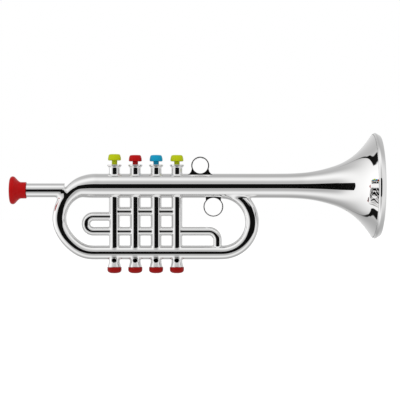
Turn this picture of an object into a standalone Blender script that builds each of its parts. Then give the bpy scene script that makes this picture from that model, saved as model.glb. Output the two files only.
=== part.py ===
"""Toy trumpet with a plated two-half body, a push-on mouthpiece and four sprung reed valves.

The frame is the playing position: +X towards the bell, +Z towards the keys, and Y = 0 on the
plane where the two body halves meet. The origin is the middle of the valve block, where the
hand holds it.
"""

import math

import bmesh
import bpy
from mathutils import Vector

MM = 0.001

# Fits
clearance = 0.3 * MM
cut_overrun = 2.0 * MM
weld_distance = 0.001 * MM
nest_share = 0.99

# Main tube and bell
main_tube_radius = 12.1 * MM
tube_wall = 1.6 * MM
main_axis_z = 33.3 * MM
flare_from_last_valve = 88.8 * MM
flare_length = 106.3 * MM
bell_edge_radius = 51.3 * MM
bell_lip_length = 3.0 * MM
partition_gap = 8.0 * MM
# Each pair is a share of the flare's length and of its growth in radius.
bell_flare_shares = (
    (0.0, 0.0),
    (0.235, 0.006),
    (0.386, 0.034),
    (0.50, 0.086),
    (0.612, 0.166),
    (0.70, 0.252),
    (0.775, 0.362),
    (0.837, 0.483),
    (0.894, 0.628),
    (0.938, 0.768),
    (0.973, 0.898),
    (1.0, 1.0),
)

# Rim ring, by how far it reaches out and in from the bell's edge
ring_outer_reach = 1.9 * MM
ring_inner_reach = 2.8 * MM
ring_width = 7.2 * MM
ring_land = 1.5 * MM
ring_skirt_edge = 0.5 * MM

# Valve block
valve_count = 4
valve_pitch = 20.8 * MM
casing_radius = 5.5 * MM
casing_wall = 1.5 * MM
casing_rise = 5.7 * MM
casing_drop = 8.9 * MM
casing_foot_radius = 6.15 * MM
casing_flare = 1.0 * MM
casing_flare_height = 2.6 * MM
sound_hole_radius = 2.2 * MM
sound_hole_drop = 7.8 * MM
air_port_radius = 2.0 * MM

# Lower tube and the bows that join it to the main tube
lower_axis_z = -33.3 * MM
lower_tube_radius = 7.0 * MM
bow_tube_radius = 6.85 * MM
left_bow_from_first_valve = 21.0 * MM
left_bow_reach = 34.2 * MM
right_bow_from_last_valve = 45.6 * MM
right_bow_end_below_main_axis = 6.46 * MM
right_bow_end_angle = math.radians(80.0)
right_bow_tail = 9.0 * MM
bow_root_length = 4.0 * MM
# Each row is a share of the left bow's reach, a share of the drop from the main axis to the
# lower axis, and a share of the extra radius that the main tube has over the bow.
left_bow_shares = (
    (0.0, 0.0, 1.0),
    (0.20, 0.008, 0.88),
    (0.38, 0.027, 0.66),
    (0.54, 0.067, 0.41),
    (0.69, 0.130, 0.22),
    (0.825, 0.213, 0.09),
    (0.93, 0.318, 0.03),
    (0.99, 0.435, 0.0),
    (0.985, 0.556, 0.0),
    (0.905, 0.675, 0.0),
    (0.77, 0.784, 0.0),
    (0.59, 0.880, 0.0),
    (0.385, 0.953, 0.0),
    (0.185, 0.990, 0.0),
    (0.0, 1.0, 0.0),
)

# Lead pipe
lead_axis_z = 28.8 * MM
lead_pipe_radius = 6.95 * MM
lead_pipe_length = 38.3 * MM
lead_pipe_end_reach = 28.6 * MM
spigot_radius = 5.5 * MM
spigot_length = 5.7 * MM
spigot_wall = 1.6 * MM
lead_passage_radius = 1.8 * MM
lead_passage_reach = 5.5 * MM

# Cross tubes and the small slide tube
cross_tube_radius = 4.5 * MM
cross_tube_wall = 1.4 * MM
cross_axis_z = 7.7 * MM
slide_tube_radius = 4.4 * MM
slide_axis_z = -12.1 * MM
slide_bend_radius = 7.4 * MM
slide_bend_from_first_valve = 21.1 * MM
stub_bend_radius = 8.5 * MM
stub_bend_from_last_valve = 32.0 * MM

# Finger rings
upper_ring_from_last_valve = 23.3 * MM
upper_ring_rise = 20.1 * MM
upper_ring_outer = 9.0 * MM
upper_ring_wall = 1.3 * MM
lower_ring_from_last_valve = 36.4 * MM
lower_ring_fall = 20.9 * MM
lower_ring_outer = 9.9 * MM
lower_ring_wall = 1.15 * MM
finger_ring_half_depth = 5.2 * MM
# Outline of the web under each ring, as shares of the ring's outer radius from its centre.
upper_web_shares = ((0.91, 0.36), (0.94, 0.63), (1.06, 0.86), (1.27, 1.05))
lower_web_shares = ((0.95, 0.31), (0.96, 0.90))

# Mouthpiece
mouth_sleeve_radius = 8.2 * MM
mouth_sleeve_length = 6.1 * MM
mouth_cone_length = 5.9 * MM
mouth_rim_radius = 14.0 * MM
mouth_rim_width = 4.6 * MM
mouth_lip_radius = 11.6 * MM
mouth_throat_radius = 2.5 * MM
mouth_throat_length = 1.8 * MM

# Collar on the top of each casing
collar_height = 3.0 * MM
collar_radius = 7.2 * MM
collar_lip = 0.7 * MM
collar_neck = 0.1 * MM
collar_spigot_length = 5.0 * MM
collar_dish_depth = 0.6 * MM

# Key button, of one piece with its stem
button_top_radius = 5.3 * MM
button_radius = 6.45 * MM
button_height = 5.9 * MM
button_gap = 3.3 * MM
first_button_extra = 0.8 * MM
stem_radius = 2.75 * MM
stem_length = 13.7 * MM
socket_depth = 6.0 * MM

# Plunger, its soft pad and its spring
plunger_radius = 1.6 * MM
seat_below_main_axis = 19.3 * MM
seat_thickness = 2.0 * MM
seat_hole_radius = 2.6 * MM
pad_thickness = 1.0 * MM
pad_radius = 3.4 * MM
disc_thickness = 1.4 * MM
disc_radius = 3.5 * MM
guide_pin_radius = 1.5 * MM
guide_pin_length = 5.0 * MM
spring_length = 13.4 * MM
spring_radius = 2.85 * MM
spring_wire_radius = 0.35 * MM
spring_turns = 5
spring_points_per_turn = 8

# Reed and its holder
holder_length = 21.0 * MM
holder_web = 1.4 * MM
holder_plate = 1.5 * MM
ledge_thickness = 1.5 * MM
ledge_hole_radius = 3.0 * MM
reed_width = 2.8 * MM
reed_length = 15.0 * MM
reed_thickness = 0.4 * MM
reed_slot_width = 2.0 * MM
reed_slot_length = 12.0 * MM

# Bottom cap
cap_radius = 7.1 * MM
cap_side_height = 4.0 * MM
cap_dome_height = 2.1 * MM
cap_overlap = 1.2 * MM
cap_spigot_length = 4.4 * MM

# Facets
bell_steps = 24
mouth_steps = 18
turned_steps = 12
casing_steps = 12
bore_steps = 8
small_steps = 8
ring_steps = 18
bow_resolution = 4
bow_hollow_resolution = 2
slide_resolution = 2
slide_hollow_resolution = 1
bend_steps = 4
right_bow_steps = 8
spring_resolution = 1
sharp_angle = math.radians(35.0)

# Places worked out from the sizes above
first_valve_x = -valve_pitch * (valve_count - 1) / 2
last_valve_x = -first_valve_x
valve_places = [first_valve_x + index * valve_pitch for index in range(valve_count)]

flare_start_x = last_valve_x + flare_from_last_valve
bell_crease_x = flare_start_x + flare_length
bell_end_x = bell_crease_x + bell_lip_length
left_bow_x = first_valve_x - left_bow_from_first_valve
right_bow_x = last_valve_x + right_bow_from_last_valve
right_bow_rise = main_axis_z - right_bow_end_below_main_axis - lower_axis_z
right_bow_radius = right_bow_rise / (1 + math.sin(right_bow_end_angle))
partition_x = right_bow_x + right_bow_radius + partition_gap
ring_outer_radius = bell_edge_radius + ring_outer_reach
ring_inner_radius = bell_edge_radius - ring_inner_reach

bore_radius = casing_radius - casing_wall
plug_radius = bore_radius - clearance
casing_top_z = main_axis_z + main_tube_radius + casing_rise
casing_bottom_z = lower_axis_z - lower_tube_radius - casing_drop
sound_hole_z = lower_axis_z - sound_hole_drop

seat_under_z = main_axis_z - seat_below_main_axis
disc_top_z = seat_under_z - pad_thickness - 2 * clearance
disc_under_z = disc_top_z - disc_thickness
spring_top_z = disc_under_z - clearance
spring_bottom_z = spring_top_z - spring_length
holder_top_z = spring_bottom_z - clearance
holder_bottom_z = holder_top_z - holder_length
ledge_top_z = holder_bottom_z - clearance

lead_end_x = left_bow_x - lead_pipe_end_reach
lead_shoulder_x = lead_end_x - lead_pipe_length
spigot_end_x = lead_shoulder_x - spigot_length
mouth_sleeve_x = lead_shoulder_x - clearance

collar_under_z = casing_top_z + clearance
collar_top_z = collar_under_z + collar_height
stem_hole_radius = stem_radius + clearance

RED = (0.60, 0.008, 0.008)
LIME = (0.48, 0.55, 0.015)
BLUE = (0.02, 0.31, 0.52)
CHROME = (0.86, 0.86, 0.87)
BRASS = (0.78, 0.57, 0.22)
STEEL = (0.55, 0.55, 0.57)
NATURAL = (0.80, 0.79, 0.75)
DARK_RUBBER = (0.03, 0.03, 0.03)
key_colours = (LIME, RED, BLUE, LIME)


def clear_scene():
    for obj in list(bpy.data.objects):
        bpy.data.objects.remove(obj, do_unlink=True)


def new_collection(name):
    collection = bpy.data.collections.new(name)
    bpy.context.scene.collection.children.link(collection)
    return collection


def new_material(name, colour, roughness, metallic=0.0):
    material = bpy.data.materials.new(name)
    material.use_nodes = True
    shader = material.node_tree.nodes["Principled BSDF"]
    shader.inputs["Base Color"].default_value = (*colour, 1.0)
    shader.inputs["Roughness"].default_value = roughness
    shader.inputs["Metallic"].default_value = metallic
    material.diffuse_color = (*colour, 1.0)
    return material


def link_helper(obj):
    """Put a cutter or a construction solid where it isn't rendered."""
    helpers.objects.link(obj)
    obj.hide_render = True
    obj.display_type = "WIRE"
    return obj


def freeze(obj):
    """Replace an object by a plain mesh object of its evaluated shape."""
    bpy.context.view_layer.update()
    graph = bpy.context.evaluated_depsgraph_get()
    mesh = bpy.data.meshes.new_from_object(obj.evaluated_get(graph))
    name = obj.name
    matrix = obj.matrix_world.copy()
    bpy.data.objects.remove(obj, do_unlink=True)
    frozen = link_helper(bpy.data.objects.new(name, mesh))
    frozen.matrix_world = matrix
    return frozen


def weld(obj):
    """Close the seams of a turned shape or of a tube's caps, and the slivers of a Boolean."""
    shape = bmesh.new()
    shape.from_mesh(obj.data)
    bmesh.ops.remove_doubles(shape, verts=shape.verts, dist=weld_distance)
    shape.to_mesh(obj.data)
    shape.free()
    return obj


def combine(target, operation, others, solver="EXACT"):
    """Join, cut or intersect a solid with others, which are used up."""
    for other in others:
        boolean = target.modifiers.new(operation.lower(), "BOOLEAN")
        boolean.operation = operation
        boolean.solver = solver
        boolean.object = other
        target = weld(freeze(target))
        bpy.data.objects.remove(other, do_unlink=True)
    return target


def publish(obj, material, parent=None):
    """Make a finished solid one of the object's parts."""
    for collection in list(obj.users_collection):
        collection.objects.unlink(obj)
    trumpet.objects.link(obj)
    obj.hide_render = False
    obj.display_type = "TEXTURED"
    obj.data.materials.clear()
    obj.data.materials.append(material)
    obj.data.shade_smooth()
    obj.data.set_sharp_from_angle(angle=sharp_angle)
    if parent is not None:
        bpy.context.view_layer.update()
        obj.parent = parent
        obj.matrix_parent_inverse = parent.matrix_world.inverted()
    return obj


def turned(name, profile, steps, closed=False, place=(0, 0, 0), axis="Z"):
    """Turn a profile of (radius, height) points, which runs down its outer side.

    The profile stands half a step from the plane Y = 0, so that no facet's edge lies in it.
    """
    half_step = math.pi / steps
    across, along = math.cos(half_step), math.sin(half_step)
    points = [(radius * across, radius * along, height) for radius, height in profile]
    edges = [(index, index + 1) for index in range(len(points) - 1)]
    if closed:
        edges.append((len(points) - 1, 0))
    mesh = bpy.data.meshes.new(name)
    mesh.from_pydata(points, edges, [])
    obj = link_helper(bpy.data.objects.new(name, mesh))
    obj.location = place
    if axis == "X":
        obj.rotation_euler = (0, math.pi / 2, 0)
    if axis == "Y":
        obj.rotation_euler = (-math.pi / 2, 0, 0)
    screw = obj.modifiers.new("turn", "SCREW")
    screw.steps = steps
    screw.render_steps = steps
    screw.use_merge_vertices = True
    screw.merge_threshold = weld_distance
    return weld(freeze(obj))


def bar(name, radius, low, high, steps, place=(0, 0, 0), axis="Z"):
    """A plain round bar between two heights on its axis."""
    profile = [(0, high), (radius, high), (radius, low), (0, low)]
    return turned(name, profile, steps, place=place, axis=axis)


def tube(name, points, radii, resolution):
    """A round tube of changing radius along a path, with closed ends."""
    curve = bpy.data.curves.new(name, "CURVE")
    curve.dimensions = "3D"
    curve.bevel_depth = radii[0]
    curve.bevel_resolution = resolution
    curve.use_fill_caps = True
    spline = curve.splines.new("POLY")
    spline.points.add(len(points) - 1)
    for target, point, radius in zip(spline.points, points, radii):
        target.co = (*point, 1.0)
        target.radius = radius / radii[0]
    obj = link_helper(bpy.data.objects.new(name, curve))
    return weld(freeze(obj))


def block(name, low, high):
    """A box between two corners."""
    shape = bmesh.new()
    bmesh.ops.create_cube(shape, size=1.0)
    low, high = Vector(low), Vector(high)
    bmesh.ops.scale(shape, vec=high - low, verts=shape.verts)
    bmesh.ops.translate(shape, vec=(low + high) / 2, verts=shape.verts)
    mesh = bpy.data.meshes.new(name)
    shape.to_mesh(mesh)
    shape.free()
    return link_helper(bpy.data.objects.new(name, mesh))


def plate(name, outline, half_depth):
    """A flat outline in X and Z, as thick along Y as twice its half depth."""
    curve = bpy.data.curves.new(name, "CURVE")
    curve.dimensions = "2D"
    curve.fill_mode = "BOTH"
    curve.extrude = half_depth
    spline = curve.splines.new("POLY")
    spline.points.add(len(outline) - 1)
    for target, (x, z) in zip(spline.points, outline):
        target.co = (x, z, 0, 1.0)
    spline.use_cyclic_u = True
    obj = link_helper(bpy.data.objects.new(name, curve))
    obj.rotation_euler = (math.pi / 2, 0, 0)
    return weld(freeze(obj))


def arc_points(centre_x, centre_z, radius, start, end, steps):
    """Points of an arc in the plane Y = 0, from one angle to another."""
    angles = [start + (end - start) * step / steps for step in range(steps + 1)]
    return [
        (centre_x + radius * math.cos(angle), 0, centre_z + radius * math.sin(angle))
        for angle in angles
    ]


def flare_profile(inset):
    """Radius and X of the bell's flare, drawn in from the outside by an inset."""
    growth = bell_edge_radius - main_tube_radius
    points = []
    for along, share in bell_flare_shares:
        radius = main_tube_radius + growth * share - inset
        points.append((radius, flare_start_x + flare_length * along))
    return points


def wrap_path():
    """The long tube's centre line and outer radii: left bow, lower tube and right bow."""
    drop = main_axis_z - lower_axis_z
    extra = main_tube_radius * nest_share - bow_tube_radius
    points = [(left_bow_x + bow_root_length, 0, main_axis_z)]
    radii = [main_tube_radius * nest_share]
    for along, down, thick in left_bow_shares:
        x = left_bow_x - left_bow_reach * along
        points.append((x, 0, main_axis_z - drop * down))
        settle = max(0.0, down - thick)
        radii.append(
            bow_tube_radius + extra * thick + (lower_tube_radius - bow_tube_radius) * settle
        )
    centre_z = lower_axis_z + right_bow_radius
    arc = arc_points(
        right_bow_x, centre_z, right_bow_radius, -math.pi / 2, right_bow_end_angle, right_bow_steps
    )
    points += arc
    radii += [lower_tube_radius] + [bow_tube_radius] * (len(arc) - 1)
    tail_x = arc[-1][0] - right_bow_tail * math.sin(right_bow_end_angle)
    tail_z = arc[-1][2] + right_bow_tail * math.cos(right_bow_end_angle)
    points.append((tail_x, 0, tail_z))
    radii.append(bow_tube_radius)
    return points, radii


def slide_path():
    """The thin tube: a small bow on the left, the lower cross tubes and the stub's bend."""
    bend_x = first_valve_x - slide_bend_from_first_valve
    bend_z = slide_axis_z + slide_bend_radius
    stub_x = last_valve_x + stub_bend_from_last_valve
    stub_z = slide_axis_z - stub_bend_radius
    points = [(first_valve_x, 0, bend_z + slide_bend_radius)]
    points += arc_points(
        bend_x, bend_z, slide_bend_radius, math.pi / 2, 3 * math.pi / 2, 2 * bend_steps
    )
    points += arc_points(stub_x, stub_z, stub_bend_radius, math.pi / 2, 0, bend_steps)
    points.append((stub_x + stub_bend_radius, 0, lower_axis_z))
    return points


def finger_ring(name, centre_x, centre_z, outer, wall, web_shares, web_side, web_end_z):
    """A band for a finger, with the web that joins it to the main tube."""
    place = (centre_x, 0, centre_z)
    depth = finger_ring_half_depth
    band = bar(name, outer, -depth, depth, ring_steps, place, "Y")
    right = [
        (centre_x + outer * across, centre_z + web_side * outer * along)
        for across, along in web_shares
    ]
    right.append((right[-1][0], web_end_z))
    left = [(2 * centre_x - x, z) for x, z in reversed(right)]
    outline = right + left
    if web_side > 0:
        outline.reverse()
    web = plate(name + "_web", outline, depth)
    band = combine(band, "UNION", [web])
    opening = bar(
        name + "_opening",
        outer - wall,
        -depth - cut_overrun,
        depth + cut_overrun,
        ring_steps,
        place,
        "Y",
    )
    return combine(band, "DIFFERENCE", [opening])


def casing_solid(valve_x):
    """The outside of one valve casing, with its flared foot on the main tube."""
    foot_top = main_axis_z + main_tube_radius
    profile = [
        (0, casing_top_z),
        (casing_radius, casing_top_z),
        (casing_radius, foot_top + casing_flare_height),
        (casing_radius + casing_flare / 3, foot_top + casing_flare_height / 3),
        (casing_radius + casing_flare, foot_top - casing_flare_height / 2),
        (casing_radius, foot_top - casing_flare_height),
        (casing_radius, lower_axis_z - lower_tube_radius),
        (casing_foot_radius, casing_bottom_z + cap_overlap + clearance),
        (casing_foot_radius, casing_bottom_z),
        (0, casing_bottom_z),
    ]
    return turned("casing", profile, casing_steps, place=(valve_x, 0, 0))


def casing_bore(valve_x):
    """The stepped bore: the stem's length, the pad's seat, the reed's ledge and the sound room."""
    seat_top = seat_under_z + seat_thickness
    ledge_under = ledge_top_z - ledge_thickness
    profile = [
        (0, casing_top_z + cut_overrun),
        (bore_radius, casing_top_z + cut_overrun),
        (bore_radius, seat_top),
        (seat_hole_radius, seat_top),
        (seat_hole_radius, seat_under_z),
        (bore_radius, seat_under_z),
        (bore_radius, ledge_top_z),
        (ledge_hole_radius, ledge_top_z),
        (ledge_hole_radius, ledge_under),
        (bore_radius, ledge_under),
        (bore_radius, casing_bottom_z - cut_overrun),
        (0, casing_bottom_z - cut_overrun),
    ]
    return turned("casing_bore", profile, bore_steps, place=(valve_x, 0, 0))


def main_tube_solid():
    """Main tube, bell and the lip that carries the rim ring, solid."""
    profile = [(0, bell_end_x), (bell_edge_radius, bell_end_x)]
    profile += list(reversed(flare_profile(0)))
    profile += [(main_tube_radius, left_bow_x), (0, left_bow_x)]
    return turned("main_tube", profile, bell_steps, place=(0, 0, main_axis_z), axis="X")


def horn_hollow():
    """The inside of the bell, from its mouth to the partition."""
    mouth_radius = bell_edge_radius - tube_wall
    throat_radius = main_tube_radius - tube_wall
    profile = [(0, bell_end_x + cut_overrun), (mouth_radius, bell_end_x + cut_overrun)]
    profile += list(reversed(flare_profile(tube_wall)))
    profile += [(throat_radius, partition_x + tube_wall), (0, partition_x + tube_wall)]
    return turned("horn_hollow", profile, bell_steps, place=(0, 0, main_axis_z), axis="X")


def lead_pipe_solid():
    profile = [
        (0, lead_end_x),
        (lead_pipe_radius, lead_end_x),
        (lead_pipe_radius, lead_shoulder_x),
        (spigot_radius, lead_shoulder_x),
        (spigot_radius, spigot_end_x),
        (0, spigot_end_x),
    ]
    return turned("lead_pipe", profile, turned_steps, place=(0, 0, lead_axis_z), axis="X")


def lead_pipe_hollow():
    """The pipe's inside, with a narrow passage through its end wall into the left bow."""
    wide = lead_pipe_radius - tube_wall
    narrow = spigot_radius - spigot_wall
    profile = [
        (0, lead_end_x + lead_passage_reach),
        (lead_passage_radius, lead_end_x + lead_passage_reach),
        (lead_passage_radius, lead_end_x - tube_wall),
        (wide, lead_end_x - tube_wall),
        (wide, lead_shoulder_x + tube_wall),
        (narrow, lead_shoulder_x),
        (narrow, spigot_end_x - cut_overrun),
        (0, spigot_end_x - cut_overrun),
    ]
    return turned("lead_hollow", profile, turned_steps, place=(0, 0, lead_axis_z), axis="X")


def build_body():
    """The plated body, made whole and hollow and then parted along Y = 0.

    Its many crossing tubes are joined by the manifold solver, which keeps them one closed body.
    """
    wrap_points, wrap_radii = wrap_path()
    slide_points = slide_path()
    upper_ring_z = main_axis_z + upper_ring_rise
    lower_ring_z = main_axis_z - lower_ring_fall
    outside = [
        tube("wrap", wrap_points, wrap_radii, bow_resolution),
        lead_pipe_solid(),
        tube(
            "slide_tube",
            slide_points,
            [slide_tube_radius] * len(slide_points),
            slide_resolution,
        ),
        bar(
            "cross_tube",
            cross_tube_radius,
            first_valve_x,
            last_valve_x,
            small_steps,
            (0, 0, cross_axis_z),
            "X",
        ),
        finger_ring(
            "upper_finger_ring",
            last_valve_x + upper_ring_from_last_valve,
            upper_ring_z,
            upper_ring_outer,
            upper_ring_wall,
            upper_web_shares,
            -1,
            main_axis_z,
        ),
        finger_ring(
            "lower_finger_ring",
            last_valve_x + lower_ring_from_last_valve,
            lower_ring_z,
            lower_ring_outer,
            lower_ring_wall,
            lower_web_shares,
            1,
            main_axis_z,
        ),
    ]
    body = combine(main_tube_solid(), "UNION", outside, "MANIFOLD")

    wrap_hollow = [radius - tube_wall for radius in wrap_radii]
    slide_hollow = [slide_tube_radius - cross_tube_wall] * len(slide_points)
    hollows = [
        horn_hollow(),
        bar(
            "main_hollow",
            main_tube_radius - tube_wall,
            left_bow_x,
            partition_x,
            bell_steps,
            (0, 0, main_axis_z),
            "X",
        ),
        tube("wrap_hollow", wrap_points, wrap_hollow, bow_hollow_resolution),
        lead_pipe_hollow(),
        tube("slide_hollow", slide_points, slide_hollow, slide_hollow_resolution),
        bar(
            "cross_hollow",
            cross_tube_radius - cross_tube_wall,
            first_valve_x,
            last_valve_x,
            small_steps,
            (0, 0, cross_axis_z),
            "X",
        ),
    ]
    body = combine(body, "DIFFERENCE", hollows, "MANIFOLD")
    casings = [casing_solid(x) for x in valve_places]
    body = combine(body, "UNION", casings, "MANIFOLD")

    cuts = [casing_bore(x) for x in valve_places]
    for valve_x in valve_places:
        cuts.append(
            bar(
                "sound_hole",
                sound_hole_radius,
                -casing_foot_radius - cut_overrun,
                0,
                small_steps,
                (valve_x, 0, sound_hole_z),
                "Y",
            )
        )
    cuts.append(
        bar(
            "air_port",
            air_port_radius,
            first_valve_x - casing_radius - cut_overrun,
            last_valve_x + casing_radius + cut_overrun,
            small_steps,
            (0, 0, main_axis_z),
            "X",
        )
    )
    body = combine(body, "DIFFERENCE", cuts, "MANIFOLD")

    reach = 2 * (bell_end_x - spigot_end_x)
    for name, side in (("body_half_front", -1), ("body_half_back", 1)):
        near, far = side * clearance / 2, side * reach
        half_space = block(
            name + "_side", (-reach, min(near, far), -reach), (reach, max(near, far), reach)
        )
        half = link_helper(bpy.data.objects.new(name, body.data.copy()))
        half.matrix_world = body.matrix_world
        half = combine(half, "INTERSECT", [half_space], "MANIFOLD")
        publish(half, chrome)
    bpy.data.objects.remove(body, do_unlink=True)


def build_rim_ring():
    """The ring that clamps the two halves together at the bell's edge."""
    back = bell_crease_x + clearance
    front = back + ring_width
    floor = bell_end_x + clearance
    skirt = bell_edge_radius + clearance
    outer = ring_outer_radius
    bulge = outer - skirt
    round_off = ring_inner_radius + bulge
    land_outer = round_off + ring_land
    profile = [
        (land_outer, front),
        (land_outer + (outer - land_outer) * 0.6, front - ring_width * 0.1),
        (outer - bulge * 0.1, front - ring_width * 0.27),
        (outer, front - ring_width * 0.5),
        (outer - bulge * 0.15, front - ring_width * 0.72),
        (skirt + ring_skirt_edge, back),
        (skirt, back),
        (skirt, floor),
        (ring_inner_radius, floor),
        (ring_inner_radius, front - ring_width * 0.25),
        (ring_inner_radius + bulge * 0.3, front - ring_width * 0.08),
        (round_off, front),
    ]
    ring = turned(
        "bell_rim_ring", profile, bell_steps, closed=True, place=(0, 0, main_axis_z), axis="X"
    )
    publish(ring, chrome)


def build_mouthpiece():
    """The red cup mouthpiece, pushed over the lead pipe's spigot."""
    sleeve_end = mouth_sleeve_x - mouth_sleeve_length
    cone_end = sleeve_end - mouth_cone_length
    rim_end = cone_end - mouth_rim_width
    socket_radius = spigot_radius + clearance
    socket_floor = spigot_end_x - clearance
    throat_end = socket_floor - mouth_throat_length
    cup_depth = throat_end - rim_end
    growth = mouth_rim_radius - mouth_sleeve_radius
    cup_growth = mouth_lip_radius - mouth_throat_radius
    profile = [
        (mouth_sleeve_radius, mouth_sleeve_x),
        (mouth_sleeve_radius, sleeve_end),
        (mouth_sleeve_radius + growth * 0.20, sleeve_end - mouth_cone_length * 0.30),
        (mouth_sleeve_radius + growth * 0.60, sleeve_end - mouth_cone_length * 0.78),
        (mouth_sleeve_radius + growth * 0.84, cone_end),
        (mouth_rim_radius - growth * 0.06, cone_end - mouth_rim_width * 0.18),
        (mouth_rim_radius, cone_end - mouth_rim_width * 0.4),
        (mouth_rim_radius - growth * 0.1, cone_end - mouth_rim_width * 0.72),
        (mouth_lip_radius, rim_end),
        (mouth_throat_radius + cup_growth * 0.86, rim_end + cup_depth * 0.06),
        (mouth_throat_radius + cup_growth * 0.68, rim_end + cup_depth * 0.30),
        (mouth_throat_radius + cup_growth * 0.40, rim_end + cup_depth * 0.66),
        (mouth_throat_radius + cup_growth * 0.12, rim_end + cup_depth * 0.90),
        (mouth_throat_radius, throat_end),
        (mouth_throat_radius, socket_floor),
        (socket_radius, socket_floor),
        (socket_radius, mouth_sleeve_x),
    ]
    place = (0, 0, lead_axis_z)
    mouthpiece = turned("mouthpiece", profile, mouth_steps, closed=True, place=place, axis="X")
    publish(mouthpiece, new_material("mouthpiece_red", RED, 0.3))


def build_collar(number, station):
    """The funnel collar on a casing's top, which guides the stem."""
    neck = casing_radius - collar_neck
    lip_under = collar_top_z - collar_lip
    profile = [
        (collar_radius, collar_top_z),
        (collar_radius, lip_under),
        (neck + (collar_radius - neck) * 0.75, lip_under - collar_height * 0.08),
        (neck + (collar_radius - neck) * 0.2, collar_under_z + collar_height * 0.3),
        (neck, collar_under_z),
        (plug_radius, collar_under_z),
        (plug_radius, collar_under_z - collar_spigot_length),
        (stem_hole_radius, collar_under_z - collar_spigot_length),
        (stem_hole_radius, collar_top_z - collar_dish_depth),
        (collar_radius - collar_lip, collar_top_z),
    ]
    collar = turned(
        f"valve_collar_{number}", profile, turned_steps, closed=True, place=station.location
    )
    publish(collar, chrome, station)


def build_button(number, carriage, colour):
    """A mushroom key cap and its stem, with a socket for the plunger."""
    extra = first_button_extra if number == 1 else 0
    under = collar_top_z + button_gap + extra
    top = under + button_height
    stem_end = under - stem_length
    socket_radius = plunger_radius + clearance
    spread = button_radius - button_top_radius
    profile = [
        (0, top),
        (button_top_radius - spread * 0.7, top),
        (button_top_radius - spread * 0.15, top - button_height * 0.06),
        (button_top_radius, top - button_height * 0.18),
        (button_top_radius + spread * 0.3, top - button_height * 0.48),
        (button_top_radius + spread * 0.9, top - button_height * 0.74),
        (button_radius, top - button_height * 0.86),
        (button_radius - spread * 0.2, top - button_height * 0.96),
        (button_radius - spread * 0.55, under),
        (stem_radius, under),
        (stem_radius, stem_end),
        (socket_radius, stem_end),
        (socket_radius, stem_end + socket_depth),
        (0, stem_end + socket_depth),
    ]
    button = turned(f"key_button_{number}", profile, turned_steps, place=carriage.location)
    publish(button, new_material(f"key_{number}_plastic", colour, 0.3), carriage)


def build_plunger(number, carriage):
    """The rod that carries the pad's disc and the spring's guide pin."""
    stem_end = collar_top_z + button_gap - stem_length
    rod_top = stem_end + socket_depth - clearance
    pin_end = disc_under_z - guide_pin_length
    profile = [
        (0, rod_top),
        (plunger_radius, rod_top),
        (plunger_radius, disc_top_z),
        (disc_radius, disc_top_z),
        (disc_radius, disc_under_z),
        (guide_pin_radius, disc_under_z),
        (guide_pin_radius, pin_end + guide_pin_radius / 2),
        (guide_pin_radius / 2, pin_end),
        (0, pin_end),
    ]
    plunger = turned(f"plunger_{number}", profile, small_steps, place=carriage.location)
    publish(plunger, natural_plastic, carriage)


def build_pad(number, carriage):
    """The soft washer that shuts the seat until the key is pressed."""
    under = disc_top_z + clearance
    top = under + pad_thickness
    inner = plunger_radius + clearance
    profile = [(pad_radius, top), (pad_radius, under), (inner, under), (inner, top)]
    pad = turned(
        f"valve_pad_{number}", profile, small_steps, closed=True, place=carriage.location
    )
    publish(pad, rubber, carriage)


def spring_points():
    count = spring_turns * spring_points_per_turn
    low = spring_bottom_z + spring_wire_radius
    rise = spring_length - 2 * spring_wire_radius
    points = []
    for index in range(count + 1):
        angle = 2 * math.pi * index / spring_points_per_turn
        across = spring_radius * math.cos(angle)
        along = spring_radius * math.sin(angle)
        points.append(Vector((across, along, low + rise * index / count)))
    return points


def least_spring_gap(points):
    """The least distance between the wire's surfaces on turns that lie next to each other."""
    least = math.inf
    for first, point in enumerate(points):
        for other in points[first + spring_points_per_turn // 2 :]:
            least = min(least, (point - other).length - 2 * spring_wire_radius)
    return least


def build_spring(number, station):
    points = spring_points()
    radii = [spring_wire_radius] * len(points)
    spring = tube(f"return_spring_{number}", points, radii, spring_resolution)
    spring.location = station.location
    publish(spring, steel, station)


def build_reed_holder(number, station):
    """A block whose web carries the reed between an upper and a lower half room."""
    x = station.location.x
    wide = plug_radius + cut_overrun
    half_web = holder_web / 2
    holder = bar(
        f"reed_holder_{number}",
        plug_radius,
        holder_bottom_z,
        holder_top_z,
        casing_steps,
        station.location,
    )
    middle_z = (holder_top_z + holder_bottom_z) / 2
    cuts = [
        block(
            "upper_room",
            (x - wide, half_web, holder_bottom_z + holder_plate),
            (x + wide, wide, holder_top_z + cut_overrun),
        ),
        block(
            "lower_room",
            (x - wide, -wide, holder_bottom_z - cut_overrun),
            (x + wide, -half_web, holder_top_z - holder_plate),
        ),
        block(
            "reed_slot",
            (x - reed_slot_width / 2, -holder_web, middle_z - reed_slot_length / 2),
            (x + reed_slot_width / 2, holder_web, middle_z + reed_slot_length / 2),
        ),
    ]
    publish(combine(holder, "DIFFERENCE", cuts), natural_plastic, station)


def build_reed(number, station):
    """The brass tongue on the holder's web."""
    x = station.location.x
    face = -holder_web / 2 - clearance
    middle_z = (holder_top_z + holder_bottom_z) / 2
    reed = block(
        f"reed_{number}",
        (x - reed_width / 2, face - reed_thickness, middle_z - reed_length / 2),
        (x + reed_width / 2, face, middle_z + reed_length / 2),
    )
    publish(reed, brass, station)


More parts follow.
